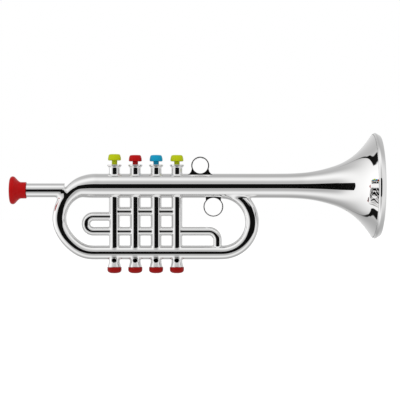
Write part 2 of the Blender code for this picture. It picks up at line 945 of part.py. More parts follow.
def build_bottom_cap(number, station):
    """The red cap that closes a casing and holds its two halves together."""
    top = casing_bottom_z + cap_overlap
    side_end = top - cap_side_height
    bottom = side_end - cap_dome_height
    recess_radius = casing_foot_radius + clearance
    recess_floor = casing_bottom_z - clearance
    profile = [
        (0, recess_floor + cap_spigot_length),
        (plug_radius, recess_floor + cap_spigot_length),
        (plug_radius, recess_floor),
        (recess_radius, recess_floor),
        (recess_radius, top),
        (cap_radius, top),
        (cap_radius, side_end),
        (cap_radius * 0.95, side_end - cap_dome_height * 0.45),
        (cap_radius * 0.78, side_end - cap_dome_height * 0.80),
        (cap_radius * 0.45, side_end - cap_dome_height * 0.97),
        (0, bottom),
    ]
    cap = turned(f"bottom_cap_{number}", profile, turned_steps, place=station.location)
    publish(cap, new_material(f"bottom_cap_{number}_red", RED, 0.3), station)


def build_valve(number, valve_x):
    station = bpy.data.objects.new(f"valve_station_{number}", None)
    carriage = bpy.data.objects.new(f"key_carriage_{number}", None)
    for empty in (station, carriage):
        empty.location = (valve_x, 0, 0)
        trumpet.objects.link(empty)
    bpy.context.view_layer.update()
    build_collar(number, station)
    build_button(number, carriage, key_colours[(number - 1) % len(key_colours)])
    build_plunger(number, carriage)
    build_pad(number, carriage)
    build_spring(number, station)
    build_reed_holder(number, station)
    build_reed(number, station)
    build_bottom_cap(number, station)


clear_scene()
trumpet = new_collection("toy_trumpet")
helpers = new_collection("cutters")
chrome = new_material("plated_plastic", CHROME, 0.04, 1.0)
brass = new_material("reed_brass", BRASS, 0.25, 1.0)
steel = new_material("spring_steel", STEEL, 0.3, 1.0)
natural_plastic = new_material("natural_plastic", NATURAL, 0.45)
rubber = new_material("pad_rubber", DARK_RUBBER, 0.8)

build_body()
build_rim_ring()
build_mouthpiece()
for valve_number, valve_place in enumerate(valve_places, start=1):
    build_valve(valve_number, valve_place)

gap_mm = least_spring_gap(spring_points()) / MM
print(f"least gap between a spring's turns: {gap_mm:.2f} mm")
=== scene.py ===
import math

import bmesh
import bpy
import mathutils
import numpy as np
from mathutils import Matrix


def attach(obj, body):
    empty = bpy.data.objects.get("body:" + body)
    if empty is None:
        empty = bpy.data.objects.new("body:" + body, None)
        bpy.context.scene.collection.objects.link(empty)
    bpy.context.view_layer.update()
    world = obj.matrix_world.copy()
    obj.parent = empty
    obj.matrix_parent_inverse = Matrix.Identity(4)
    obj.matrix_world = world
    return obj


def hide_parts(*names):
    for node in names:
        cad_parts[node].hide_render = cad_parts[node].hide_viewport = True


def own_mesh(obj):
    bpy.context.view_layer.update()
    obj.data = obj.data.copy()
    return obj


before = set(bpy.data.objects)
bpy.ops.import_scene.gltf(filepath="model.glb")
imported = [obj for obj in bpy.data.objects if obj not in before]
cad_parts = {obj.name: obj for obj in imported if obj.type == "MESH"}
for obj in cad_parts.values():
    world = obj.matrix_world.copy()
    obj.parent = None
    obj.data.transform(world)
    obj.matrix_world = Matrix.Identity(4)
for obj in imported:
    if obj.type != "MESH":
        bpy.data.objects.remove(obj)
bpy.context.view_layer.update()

MM = 0.001

# Places and sizes of the object, in millimetres in the frame of the model

MAIN_Z, MAIN_R, MAIN_FROM_X = 33.3, 12.1, -40.0
LOWER_Z, LOWER_R = -33.3, 7.0
BOW_R = 6.85
CASING_X = (-31.2, -10.4, 10.4, 31.2)
CASING_R, CASING_DEPTH, BORE_R = 5.5, 6.0, 4.0
FOOT_TOP, FOOT_END, FOOT_STEP = -43.1, -47.8, 0.2
FOOT_R, FOOT_DEPTH, FOOT_SEAT_R = 6.62, 6.98, 6.15
CASING_TOP, CASING_BOTTOM = 51.1, -49.2
HOLE_Z, HOLE_R, HOLE_FROM_Y = -41.1, 2.2, -1.0
CROSS_Z, CROSS_R = 7.7, 4.5
SLIDE_Z, SLIDE_R = -12.1, 4.4
LEAD_Z, LEAD_R = 28.8, 6.95
LEAD_END, LEAD_SHOULDER, LEAD_CHAMFER = -80.8, -119.1, 0.3
SPIGOT_R, SPIGOT_END = 5.5, -124.8
LEFT_BOW_X, LEFT_REACH = -52.2, 34.2
RIGHT_BOW_X, RIGHT_BOW_R, RIGHT_BOW_TURN, RIGHT_BOW_TAIL = 76.0, 30.3, 80.0, 8.0
SMALL_BOW_X, SMALL_BOW_R = -52.3, 7.4
STUB_X, STUB_R = 63.2, 8.5
SEAM = 0.1
NET_LEFT, NET_RIGHT = -96.0, 113.0
NET_STEP = 0.7

# Where the drawn centre lines begin and end inside straight tubes
MAIN_LINE_X, LEFT_LINE_X, RIGHT_LINE_X = -24.0, 6.0, -12.0

# Fillets where tubes meet, with the heights between which they grow, and rounded edges
LEAD_FILLET, LEAD_FILLET_GAIN, LEAD_FILLET_FROM_Z, LEAD_FILLET_TO_Z = 0.9, 2.4, 34.0, 29.0
BOW_FILLET, BOW_FILLET_FROM_Z, BOW_FILLET_TO_Z = 1.8, -12.0, 4.0
CASING_FILLET, TUBE_FILLET = 0.7, 0.8
LEAD_EDGE, HOLE_EDGE = 0.5, 0.4

# The left bow: share of its reach, share of its drop, share of the main tube's extra thickness
LEFT_BOW_SHARES = (
    (0.0, 0.0, 1.0), (0.20, 0.008, 0.88), (0.38, 0.027, 0.66), (0.54, 0.067, 0.41),
    (0.69, 0.130, 0.22), (0.825, 0.213, 0.09), (0.93, 0.318, 0.03), (0.99, 0.435, 0.0),
    (0.985, 0.556, 0.0), (0.905, 0.675, 0.0), (0.77, 0.784, 0.0), (0.59, 0.880, 0.0),
    (0.385, 0.953, 0.0), (0.185, 0.990, 0.0), (0.0, 1.0, 0.0),
)


# Smooth centre lines

SAMPLE_GAP, BATCH = 3.0, 20000


class SmoothPath:
    """A centre line in the plane Y = 0, as a cubic spline through rows of x, z and radius."""

    def __init__(self, rows):
        self.rows = np.array(rows, float)
        self.gaps = np.linalg.norm(np.diff(self.rows[:, :2], axis=0), axis=1)
        self.knots = np.concatenate([[0.0], np.cumsum(self.gaps)])
        count = len(self.rows)
        system, right = np.eye(count), np.zeros((count, 3))
        slopes = np.diff(self.rows, axis=0) / self.gaps[:, None]
        for i in range(1, count - 1):
            before, after = self.gaps[i - 1], self.gaps[i]
            system[i, i - 1 : i + 2] = before / 6, (before + after) / 3, after / 6
            right[i] = slopes[i] - slopes[i - 1]
        self.bends = np.linalg.solve(system, right)
        steps = max(2, int(self.knots[-1] / SAMPLE_GAP))
        self.sample_t = np.linspace(0, self.knots[-1], steps + 1)
        self.samples = self.value(self.sample_t)[:, :2]

    def value(self, t, order=0):
        """The row at the length t along the line, or its first or second derivative."""
        k = np.clip(np.searchsorted(self.knots, t, side="right") - 1, 0, len(self.gaps) - 1)
        gap = self.gaps[k][..., None]
        b = (t - self.knots[k])[..., None] / gap
        a = 1 - b
        if order == 0:
            curve = ((a**3 - a) * self.bends[k] + (b**3 - b) * self.bends[k + 1]) * gap**2 / 6
            return a * self.rows[k] + b * self.rows[k + 1] + curve
        if order == 1:
            slope = (self.rows[k + 1] - self.rows[k]) / gap
            return slope + ((1 - 3 * a**2) * self.bends[k] + (3 * b**2 - 1) * self.bends[k + 1]) * gap / 6
        return a * self.bends[k] + b * self.bends[k + 1]

    def nearest(self, x, z):
        """Distance in the plane from each point to the line, and the line's radius there."""
        x, z = np.broadcast_arrays(x, z)
        shape, x, z = x.shape, x.ravel(), z.ravel()
        t = np.empty(len(x))
        for at in range(0, len(x), BATCH):
            part = slice(at, at + BATCH)
            far = (x[part, None] - self.samples[:, 0]) ** 2 + (z[part, None] - self.samples[:, 1]) ** 2
            t[part] = self.sample_t[far.argmin(1)]
        start, reach = t.copy(), self.sample_t[1]
        for _ in range(3):
            here, slope, bend = self.value(t), self.value(t, 1), self.value(t, 2)
            dx, dz = here[:, 0] - x, here[:, 1] - z
            grade = dx * slope[:, 0] + dz * slope[:, 1]
            curve = slope[:, 0] ** 2 + slope[:, 1] ** 2 + dx * bend[:, 0] + dz * bend[:, 1]
            t = t - grade / np.maximum(curve, 0.2)
            t = np.clip(np.clip(t, start - reach, start + reach), 0, self.knots[-1])
        here = self.value(t)
        across = np.hypot(here[:, 0] - x, here[:, 1] - z)
        return across.reshape(shape), here[:, 2].reshape(shape)


def straight(x0, z0, x1, z1, radius, step=6.0):
    """Rows of a straight stretch, without its last point."""
    count = max(1, round(math.hypot(x1 - x0, z1 - z0) / step))
    return [(x0 + (x1 - x0) * i / count, z0 + (z1 - z0) * i / count, radius) for i in range(count)]


def arc(cx, cz, bend, start, end, radius, count):
    """Rows of an arc between two angles in degrees, without its last point."""
    rows = []
    for i in range(count):
        angle = math.radians(start + (end - start) * i / count)
        rows.append((cx + bend * math.cos(angle), cz + bend * math.sin(angle), radius))
    return rows


def left_line():
    """Main tube's left stretch, left bow and the lower tube's left stretch."""
    rows = straight(MAIN_LINE_X, MAIN_Z, LEFT_BOW_X, MAIN_Z, MAIN_R)
    drop, extra = MAIN_Z - LOWER_Z, MAIN_R - BOW_R
    for along, down, thick in LEFT_BOW_SHARES:
        settle = max(0.0, down - thick)
        radius = BOW_R + extra * thick + (LOWER_R - BOW_R) * settle
        rows.append((LEFT_BOW_X - LEFT_REACH * along, MAIN_Z - drop * down, radius))
    return SmoothPath(rows + straight(LEFT_BOW_X, LOWER_Z, LEFT_LINE_X, LOWER_Z, LOWER_R)[1:])


def right_line():
    """The lower tube's right stretch, the right bow and its tail into the main tube."""
    rows = straight(RIGHT_LINE_X, LOWER_Z, RIGHT_BOW_X, LOWER_Z, LOWER_R)
    centre_z = LOWER_Z + RIGHT_BOW_R
    rows += arc(RIGHT_BOW_X, centre_z, RIGHT_BOW_R, -90, RIGHT_BOW_TURN, BOW_R, 24)
    end = math.radians(RIGHT_BOW_TURN)
    x = RIGHT_BOW_X + RIGHT_BOW_R * math.cos(end)
    z = centre_z + RIGHT_BOW_R * math.sin(end)
    tail_x, tail_z = x - RIGHT_BOW_TAIL * math.sin(end), z + RIGHT_BOW_TAIL * math.cos(end)
    return SmoothPath(rows + [(x, z, BOW_R), (tail_x, tail_z, BOW_R)])


def slide_line():
    """The thin tube: small bow on the left, lower cross tubes and the stub's bend."""
    bow_z = SLIDE_Z + SMALL_BOW_R
    top_z = bow_z + SMALL_BOW_R
    rows = straight(CASING_X[0], top_z, SMALL_BOW_X, top_z, SLIDE_R, 3.0)
    rows += arc(SMALL_BOW_X, bow_z, SMALL_BOW_R, 90, 270, SLIDE_R, 12)
    rows += straight(SMALL_BOW_X, SLIDE_Z, STUB_X, SLIDE_Z, SLIDE_R, 3.0)
    rows += arc(STUB_X, SLIDE_Z - STUB_R, STUB_R, 90, 0, SLIDE_R, 6)
    rows += straight(STUB_X + STUB_R, SLIDE_Z - STUB_R, STUB_X + STUB_R, LOWER_Z, SLIDE_R, 3.0)
    return SmoothPath(rows)


LEFT_LINE, RIGHT_LINE, SLIDE_LINE = left_line(), right_line(), slide_line()


# The tubes as a distance field: below zero inside, zero on the surface

def along_line(line, x, y, z):
    """The round tube along a centre line."""
    across, radius = line.nearest(x, z)
    return np.sqrt(across**2 + y**2) - radius


def joined(a, b, fillet):
    """Union with a rolling ball's fillet."""
    fillet = np.maximum(fillet, 1e-6)
    u, v = np.maximum(fillet - a, 0), np.maximum(fillet - b, 0)
    return np.maximum(fillet, np.minimum(a, b)) - np.hypot(u, v)


def common(a, b, rounding):
    """Intersection with a rounded edge."""
    u, v = np.maximum(rounding + a, 0), np.maximum(rounding + b, 0)
    return np.minimum(-rounding, np.maximum(a, b)) + np.hypot(u, v)


def step_up(value, low, high):
    """A smooth passage from 0 at low to 1 at high."""
    share = np.clip((value - low) / (high - low), 0, 1)
    return share * share * (3 - 2 * share)


def casing_field(x, y, z, place):
    """A casing, a little deeper than it is wide, with its wider foot above the bottom cap."""
    heights = (CASING_BOTTOM, FOOT_END - FOOT_STEP, FOOT_END, FOOT_TOP, CASING_TOP)
    wide = np.interp(z, heights, (FOOT_SEAT_R, FOOT_SEAT_R, FOOT_R, CASING_R, CASING_R))
    deep = np.interp(z, heights, (FOOT_SEAT_R, FOOT_SEAT_R, FOOT_DEPTH, CASING_DEPTH, CASING_DEPTH))
    return (np.hypot((x - place) / wide, y / deep) - 1) * wide


def tubes(x, y, z, side):
    """All the tubes joined, with the casings' bores, and the sound holes where side is the front's."""
    main = np.maximum(np.hypot(y, z - MAIN_Z) - MAIN_R, MAIN_FROM_X - x)
    field = np.minimum(main, along_line(LEFT_LINE, x, y, z))
    lead = common(np.hypot(y, z - LEAD_Z) - LEAD_R, x - LEAD_END, LEAD_EDGE)
    lead_gain = LEAD_FILLET_GAIN * step_up(-z, -LEAD_FILLET_FROM_Z, -LEAD_FILLET_TO_Z)
    field = joined(field, lead, LEAD_FILLET + lead_gain)
    bow_fillet = BOW_FILLET * step_up(z, BOW_FILLET_FROM_Z, BOW_FILLET_TO_Z)
    field = joined(field, along_line(RIGHT_LINE, x, y, z), bow_fillet)
    thin = np.maximum(np.hypot(y, z - CROSS_Z) - CROSS_R, np.abs(x) - CASING_X[3])
    thin = np.minimum(thin, along_line(SLIDE_LINE, x, y, z))
    casings = np.inf
    bores = np.inf
    for place in CASING_X:
        casings = np.minimum(casings, casing_field(x, y, z, place))
        bores = np.minimum(bores, np.hypot(x - place, y) - BORE_R)
    thin = joined(thin, casings, CASING_FILLET)
    field = joined(field, thin, TUBE_FILLET)
    field = np.maximum(field, -bores)
    if side < 0:
        for place in CASING_X:
            hole = np.maximum(np.hypot(x - place, z - HOLE_Z) - HOLE_R, y - HOLE_FROM_Y)
            field = common(field, -hole, HOLE_EDGE)
    return field


def walled_tubes(x, y, z, side):
    """The tubes in a box a little larger than the cuts that end them, so that their net is closed."""
    spare = 1.5 * NET_STEP
    sideways = np.maximum(NET_LEFT - x, x - NET_RIGHT)
    ends = np.maximum(sideways, np.maximum(CASING_BOTTOM - z, z - CASING_TOP))
    return np.maximum(tubes(x, y, z, side), np.maximum(ends, -side * y) - spare)


def slope_of(field, points, side, reach=0.02):
    """The field's slope along X, Y and Z at each point."""
    slopes = []
    for axis in range(3):
        offset = np.zeros(3)
        offset[axis] = reach
        ahead = field(*(points + offset).T, side)
        behind = field(*(points - offset).T, side)
        slopes.append((ahead - behind) / (2 * reach))
    return np.array(slopes).T


CELL_CORNERS = [(i, j, k) for i in (0, 1) for j in (0, 1) for k in (0, 1)]


def crossing_means(values, cells):
    """The mean of the points, in each cell, where the surface crosses the cell's edges."""
    at_corner = {c: values[tuple((cells + c).T)] for c in CELL_CORNERS}
    total, crossings = np.zeros((len(cells), 3)), np.zeros(len(cells))
    for first in CELL_CORNERS:
        for axis in range(3):
            if first[axis]:
                continue
            second = tuple(1 if k == axis else first[k] for k in range(3))
            a, b = at_corner[first], at_corner[second]
            cross = (a < 0) != (b < 0)
            share = np.where(cross, a / np.where(cross, a - b, 1), 0)
            spot = np.tile(np.array(first, float), (len(cells), 1))
            spot[:, axis] += share
            total += spot * cross[:, None]
            crossings += cross
    return total / crossings[:, None]


def settled(field, points, step, side):
    """Points moved onto the field's zero surface, each time by half a step at most."""
    for _ in range(3):
        slope = slope_of(field, points, side)
        size = np.maximum((slope**2).sum(1), 0.25)
        move = -(field(*points.T, side) / size)[:, None] * slope
        length = np.linalg.norm(move, axis=1, keepdims=True)
        points = points + move * np.minimum(1, 0.5 * step / np.maximum(length, 1e-9))
    return points


def net_quads(inside, number, sizes):
    """A quad for each edge of the grid that crosses the surface, between the four cells round it."""
    quads = []
    for axis in range(3):
        u, v = (axis + 1) % 3, (axis + 2) % 3
        near = [slice(1, n) for n in sizes]
        near[axis] = slice(0, sizes[axis])
        far = list(near)
        far[axis] = slice(1, sizes[axis] + 1)
        a, b = inside[tuple(near)], inside[tuple(far)]
        for flip, mask in ((False, a & ~b), (True, ~a & b)):
            spots = np.argwhere(mask)
            base = spots + np.array([s.start for s in near])
            ring = []
            for du, dv in ((-1, -1), (0, -1), (0, 0), (-1, 0)):
                cell = base.copy()
                cell[:, u] += du
                cell[:, v] += dv
                ring.append(number[tuple(cell.T)])
            ring = np.array(ring).T
            quads.append(ring[:, ::-1] if flip else ring)
    return np.concatenate(quads)


def surface_net(field, low, high, step, side):
    """Quads on the field's zero surface in a box, with each point moved onto it."""
    axes = [np.arange(a, b + step, step) for a, b in zip(low, high)]
    shaped = [axes[0][:, None, None], axes[1][None, :, None], axes[2][None, None, :]]
    values = np.broadcast_to(field(*shaped, side), [len(a) for a in axes])
    inside = values < 0
    sizes = [len(a) - 1 for a in axes]
    within = np.zeros(sizes, np.int8)
    for corner in CELL_CORNERS:
        within += inside[tuple(slice(c, c + n) for c, n in zip(corner, sizes))]
    cells = np.argwhere((within > 0) & (within < 8))
    number = -np.ones(sizes, np.int64)
    number[tuple(cells.T)] = np.arange(len(cells))
    points = np.array(low) + (cells + crossing_means(values, cells)) * step
    return settled(field, points, step, side), net_quads(inside, number, sizes)


# Meshes from arrays

SLIGHT_BEND = math.cos(math.radians(35))
ON_AXIS, ON_PLANE = 1e-6, 1e-4


def mesh_object(name, points, faces, normals=None, kinds=None):
    """An object from points in millimetres, with corner normals and a kind for each face."""
    mesh = bpy.data.meshes.new(name)
    mesh.from_pydata((np.asarray(points) * MM).tolist(), [], [list(map(int, f)) for f in faces])
    if kinds is not None:
        mesh.polygons.foreach_set("material_index", np.asarray(kinds, np.int32))
    mesh.shade_smooth()
    if normals is not None:
        mesh.normals_split_custom_set(np.asarray(normals).tolist())
    obj = bpy.data.objects.new(name, mesh)
    bpy.context.scene.collection.objects.link(obj)
    return obj


def rounded_profile(points):
    """A profile of (radius, along) points, with the normals at the start and end of each run.

    The outside is on the left of the runs. Runs that meet at a slight bend share their normal there.
    """
    points = np.array(points, float)
    runs = np.diff(points, axis=0)
    lengths = np.linalg.norm(runs, axis=1, keepdims=True)
    flat = np.stack([-runs[:, 1], runs[:, 0]], 1) / lengths
    starts, ends = flat.copy(), flat.copy()
    for i in range(len(flat) - 1):
        if flat[i] @ flat[i + 1] > SLIGHT_BEND:
            middle = flat[i] * lengths[i + 1] + flat[i + 1] * lengths[i]
            middle /= np.linalg.norm(middle)
            ends[i], starts[i + 1] = middle, middle
    return points, starts, ends


def turned(profile, steps, half=0, closed=False):
    """Points, faces and corner normals of a profile turned about X, whole or one half of it.

    The profile holds (radius, x) points. With half at -1 or 1 only that side of Y = 0 is made.
    """
    if closed:
        profile = list(profile) + [profile[0]]
    spots, starts, ends = rounded_profile(profile)
    if closed and starts[0] @ ends[-1] > SLIGHT_BEND:
        middle = (starts[0] + ends[-1]) / np.linalg.norm(starts[0] + ends[-1])
        starts[0], ends[-1] = middle, middle
    span = math.pi if half else 2 * math.pi
    count = steps // 2 if half else steps
    angles = [span * k / count for k in range(count + 1)]
    spin = half if half else 1
    points, faces, normals = [], [], []
    columns = count + 1 if half else count
    for k in range(columns):
        # At angle 0 a column stands at +Z, and it turns towards +Y times the spin.
        c, s = math.cos(angles[k]), math.sin(angles[k]) * spin
        for radius, along in spots:
            y = radius * s
            if half:
                y = half * max(abs(y), SEAM)
            points.append((along, y, radius * c))
    rows = len(spots)
    for k in range(count):
        after = (k + 1) % columns
        for i in range(rows - 1):
            face = [k * rows + i, k * rows + i + 1, after * rows + i + 1, after * rows + i]
            corner = [starts[i], ends[i], ends[i], starts[i]]
            turn = [angles[k], angles[k], angles[k + 1], angles[k + 1]]
            keep = [0, 1, 2, 3]
            if spots[i][0] < ON_AXIS:
                keep.remove(3)
            if spots[i + 1][0] < ON_AXIS:
                keep.remove(2)
            if len(keep) < 3:
                continue
            if spin > 0:
                keep = keep[::-1]
            faces.append([face[n] for n in keep])
            for n in keep:
                out, ahead = corner[n]
                normals.append((ahead, out * math.sin(turn[n]) * spin, out * math.cos(turn[n])))
    if half:
        for k in (0, count):
            face = [k * rows + i for i in range(rows)]
            faces.append(face if (k == 0) == (half < 0) else face[::-1])
            normals += [(0, -half, 0)] * len(face)
    return np.array(points), faces, np.array(normals)


def moved(part, along, axis="X"):
    """A turned part with its axis along X or Z, moved to its place."""
    points, faces, normals = part
    if axis == "Z":
        turn = np.array([[0, 0, -1], [0, 1, 0], [1, 0, 0]], float)
        points, normals = points @ turn.T, normals @ turn.T
    return points + np.array(along, float), faces, normals


def gathered(parts):
    """Several parts as one."""
    points, faces, normals, base = [], [], [], 0
    for spots, sides, corners in parts:
        faces += [[base + n for n in side] for side in sides]
        points.append(spots)
        normals.append(corners)
        base += len(spots)
    return np.concatenate(points), faces, np.concatenate(normals)


def spline_profile(knots, count):
    """A smooth profile through a few (radius, along) points."""
    line = SmoothPath([(radius, along, 0) for radius, along in knots])
    at = np.linspace(0, line.knots[-1], count)
    return [tuple(p[:2]) for p in line.value(at)]


def corner_arc(cr, ca, radius, start, end, count=6):
    """Points of an arc in a profile. Angle 0 points outward and 90 points along."""
    turns = [math.radians(start + (end - start) * i / count) for i in range(count + 1)]
    return [(cr + radius * math.cos(t), ca + radius * math.sin(t)) for t in turns]


# Materials

SPECULAR = 0.15


def material(name, colour, roughness, metallic=0.0):
    made = bpy.data.materials.new(name)
    made.use_nodes = True
    tree = made.node_tree
    shader = tree.nodes["Principled BSDF"]
    shader.inputs["Base Color"].default_value = (*colour, 1)
    shader.inputs["Roughness"].default_value = roughness
    shader.inputs["Metallic"].default_value = metallic
    shader.inputs["Specular IOR Level"].default_value = SPECULAR
    return made, tree, shader


def noise(tree, scale, detail=3.0, stretch=(1, 1, 1)):
    place = tree.nodes.new("ShaderNodeTexCoord")
    sizing = tree.nodes.new("ShaderNodeMapping")
    sizing.inputs["Scale"].default_value = stretch
    field = tree.nodes.new("ShaderNodeTexNoise")
    field.inputs["Scale"].default_value = scale
    field.inputs["Detail"].default_value = detail
    tree.links.new(place.outputs["Object"], sizing.inputs["Vector"])
    tree.links.new(sizing.outputs["Vector"], field.inputs["Vector"])
    return field.outputs["Fac"]


def ranged(tree, value, low, high, start=0.3, end=0.7):
    """A noise value spread over a range."""
    node = tree.nodes.new("ShaderNodeMapRange")
    node.inputs["From Min"].default_value = start
    node.inputs["From Max"].default_value = end
    node.inputs["To Min"].default_value = low
    node.inputs["To Max"].default_value = high
    tree.links.new(value, node.inputs["Value"])
    return node.outputs["Result"]


def tinted(tree, shader, value, dark, light):
    """Colour variation between two near tones of one colour."""
    mix = tree.nodes.new("ShaderNodeMix")
    mix.data_type = "RGBA"
    # Inputs 6 and 7 and output 2 are the mix node's colours.
    mix.inputs[6].default_value = (*dark, 1)
    mix.inputs[7].default_value = (*light, 1)
    tree.links.new(value, mix.inputs[0])
    tree.links.new(mix.outputs[2], shader.inputs["Base Color"])


def bumped(tree, shader, value, strength, distance):
    bump = tree.nodes.new("ShaderNodeBump")
    bump.inputs["Strength"].default_value = strength
    bump.inputs["Distance"].default_value = distance
    tree.links.new(value, bump.inputs["Height"])
    tree.links.new(bump.outputs["Normal"], shader.inputs["Normal"])


def plating(name, tone):
    """Bright plating on moulded plastic: a faint haze and a slightly uneven skin."""
    made, tree, shader = material(name, (tone,) * 3, 0.03, metallic=1.0)
    haze = ranged(tree, noise(tree, 60.0, 4.0), 0.004, 0.014)
    tree.links.new(haze, shader.inputs["Roughness"])
    cloud = ranged(tree, noise(tree, 25.0, 2.0), 0, 1)
    tinted(tree, shader, cloud, (tone * 0.975, tone * 0.97, tone * 0.965), (tone,) * 3)
    return made


def plastic(name, colour, roughness=0.32, grain=0.012):
    """Moulded plastic, coloured right through, with a fine moulded skin."""
    made, tree, shader = material(name, colour, roughness)
    cloud = ranged(tree, noise(tree, 180.0, 3.0), 0, 1)
    deep = tuple(c * 0.96 for c in colour)
    tinted(tree, shader, cloud, deep, colour)
    haze = ranged(tree, noise(tree, 300.0, 4.0), roughness * 0.85, roughness * 1.2)
    tree.links.new(haze, shader.inputs["Roughness"])
    bumped(tree, shader, noise(tree, 900.0, 3.0), grain, 0.0002)
    return made


def metal(name, colour, roughness, stretch):
    """Bare metal with fine lines."""
    made, tree, shader = material(name, colour, roughness, metallic=1.0)
    lines = noise(tree, 400.0, 2.0, stretch)
    tree.links.new(ranged(tree, lines, roughness * 0.7, roughness * 1.4), shader.inputs["Roughness"])
    tinted(tree, shader, ranged(tree, lines, 0, 1), tuple(c * 0.85 for c in colour), colour)
    return made


def linear(*srgb):
    """A colour of three 0 to 255 values as the linear values that a shader takes."""
    return tuple(((c / 255 + 0.055) / 1.055) ** 2.4 if c > 10 else c / 3294.6 for c in srgb)


CHROME = plating("bright_plating", 0.93)
# The casings' bores are unplated; their near-black colour is painted shade for the dark inside of the
# holes.
BORE_PAINTED_SHADE = plastic("bore_painted_shade", (0.012, 0.012, 0.013), 0.5)
RED = plastic("red_plastic", linear(180, 2, 4))
# The bottom caps are the mouthpiece's red plastic; this darker copy is painted shade.
CAP_RED_SHADED = plastic("cap_red_painted_shade", linear(150, 8, 4))
LIME = plastic("lime_plastic", linear(184, 196, 4))
BLUE = plastic("blue_plastic", linear(8, 150, 190))
NATURAL = plastic("natural_plastic", (0.72, 0.71, 0.66), 0.45)
RUBBER = plastic("pad_rubber", (0.02, 0.02, 0.02), 0.8, 0.1)
BRASS = metal("reed_brass", (0.78, 0.57, 0.22), 0.28, (1, 1, 0.05))
STEEL = metal("spring_steel", (0.55, 0.55, 0.57), 0.3, (1, 1, 1))


def dress(obj, body, slot, *materials, stands_for=()):
    """Give a piece its materials, its body and the CAD nodes that it stands for. Its slot is not used."""
    for made in materials:
        obj.data.materials.append(made)
    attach(obj, body)
    if stands_for:
        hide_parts(*stands_for)
    return obj


# Body halves

# The bell's flare: share of its length, share of its growth in radius
FLARE_SHARES = (
    (0.0, 0.0), (0.12, 0.0015), (0.235, 0.006), (0.31, 0.016), (0.386, 0.034), (0.50, 0.086),
    (0.612, 0.166), (0.70, 0.252), (0.775, 0.362), (0.837, 0.483), (0.894, 0.628),
    (0.938, 0.768), (0.973, 0.898), (1.0, 1.0),
)
FLARE_X, FLARE_LENGTH, FLARE_RUN_IN, LIP = 120.0, 106.3, 4.0, 3.0
BELL_R, WALL = 51.3, 1.6
BELL_EDGE_X = FLARE_X + FLARE_LENGTH
PARTITION_X = 116.7
SPIGOT_WALL = 1.6
BORE_SPARE = 0.35
BELL_STEPS, LEAD_STEPS = ((192, 96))


def bell_profile():
    """Inner and outer side of the bell, as (radius, x) points from its bottom wall round the lip."""
    growth, start_x, lip_x = BELL_R - MAIN_R, FLARE_X - FLARE_RUN_IN, BELL_EDGE_X + LIP
    knots = [(MAIN_R, start_x)]
    knots += [(MAIN_R + growth * share, FLARE_X + FLARE_LENGTH * along) for along, share in FLARE_SHARES]
    outer = spline_profile(knots, 90)
    line = np.array(outer)
    run = np.gradient(line, axis=0)
    run /= np.linalg.norm(run, axis=1, keepdims=True)
    inner = line + WALL * np.stack([-run[:, 1], run[:, 0]], 1)
    inner = [tuple(p) for p in inner if PARTITION_X + 1 < p[1] < lip_x - 1]
    lip = [(BELL_R, lip_x), (BELL_R - WALL, lip_x)]
    profile = [(0, NET_RIGHT), (MAIN_R, NET_RIGHT), (MAIN_R, start_x - 1)] + outer + lip
    profile += list(reversed(inner)) + [(MAIN_R - WALL, PARTITION_X), (0, PARTITION_X)]
    return list(reversed(profile))


def lead_profile():
    """The lead pipe's open end, which the mouthpiece covers, from the net's edge to the left."""
    bore = SPIGOT_R - SPIGOT_WALL
    profile = [(0, NET_LEFT), (LEAD_R, NET_LEFT), (LEAD_R, LEAD_SHOULDER + LEAD_CHAMFER)]
    profile += [(LEAD_R - LEAD_CHAMFER, LEAD_SHOULDER), (SPIGOT_R, LEAD_SHOULDER)]
    profile += [(SPIGOT_R, SPIGOT_END), (bore, SPIGOT_END)]
    return profile + [(bore, LEAD_SHOULDER), (0, LEAD_SHOULDER)]


def cut_net(points, quads, side):
    """The net cut to its box, with the seam's and the casings' cut faces filled."""
    shape = bmesh.new()
    spots = [shape.verts.new(p) for p in points]
    for quad in quads:
        shape.faces.new([spots[n] for n in quad])
    planes = (
        ((0, 0, CASING_TOP), (0, 0, 1)),
        ((0, 0, CASING_BOTTOM), (0, 0, -1)),
        ((NET_LEFT, 0, 0), (-1, 0, 0)),
        ((NET_RIGHT, 0, 0), (1, 0, 0)),
        ((0, side * SEAM, 0), (0, -side, 0)),
    )
    for place, away in planes:
        geometry = list(shape.verts) + list(shape.edges) + list(shape.faces)
        bmesh.ops.bisect_plane(
            shape, geom=geometry, dist=1e-5, plane_co=place, plane_no=away, clear_outer=True,
        )
        rim = [edge for edge in shape.edges if edge.is_boundary]
        made = bmesh.ops.triangle_fill(
            shape, use_beauty=True, use_dissolve=False, edges=rim, normal=away,
        )
        filling = [part for part in made["geom"] if isinstance(part, bmesh.types.BMFace)]
        middles = np.array([face.calc_center_median() for face in filling])
        outside = walled_tubes(*middles.T, side) > 0
        spare = [face for face, out in zip(filling, outside) if out]
        bmesh.ops.delete(shape, geom=spare, context="FACES_KEEP_BOUNDARY")
    shape.verts.index_update()
    points = np.array([v.co for v in shape.verts])
    faces = [[v.index for v in face.verts] for face in shape.faces]
    shape.free()
    return points, faces, planes


def net_part(side):
    """The net of one half's tubes, with the field's own slopes as normals and flat cut faces."""
    spare, depth = 3 * NET_STEP, MAIN_R + 2 * NET_STEP
    y_low, y_high = (-depth, spare) if side < 0 else (-spare, depth)
    low = (NET_LEFT - spare, y_low, CASING_BOTTOM - spare)
    high = (NET_RIGHT + spare, y_high, CASING_TOP + spare)
    points, quads = surface_net(walled_tubes, low, high, NET_STEP, side)
    points, faces, planes = cut_net(points, quads, side)
    smooth = slope_of(tubes, points, side)
    smooth /= np.maximum(np.linalg.norm(smooth, axis=1, keepdims=True), 1e-9)
    flat = [None] * len(faces)
    for place, away in planes:
        axis = max(range(3), key=lambda n: abs(away[n]))
        on_plane = np.abs(points[:, axis] - place[axis]) < ON_PLANE
        for index, face in enumerate(faces):
            if on_plane[face].all():
                flat[index] = away
    normals = []
    for face, away in zip(faces, flat):
        normals += [away] * len(face) if away else [tuple(smooth[n]) for n in face]
    return points, faces, np.array(normals)


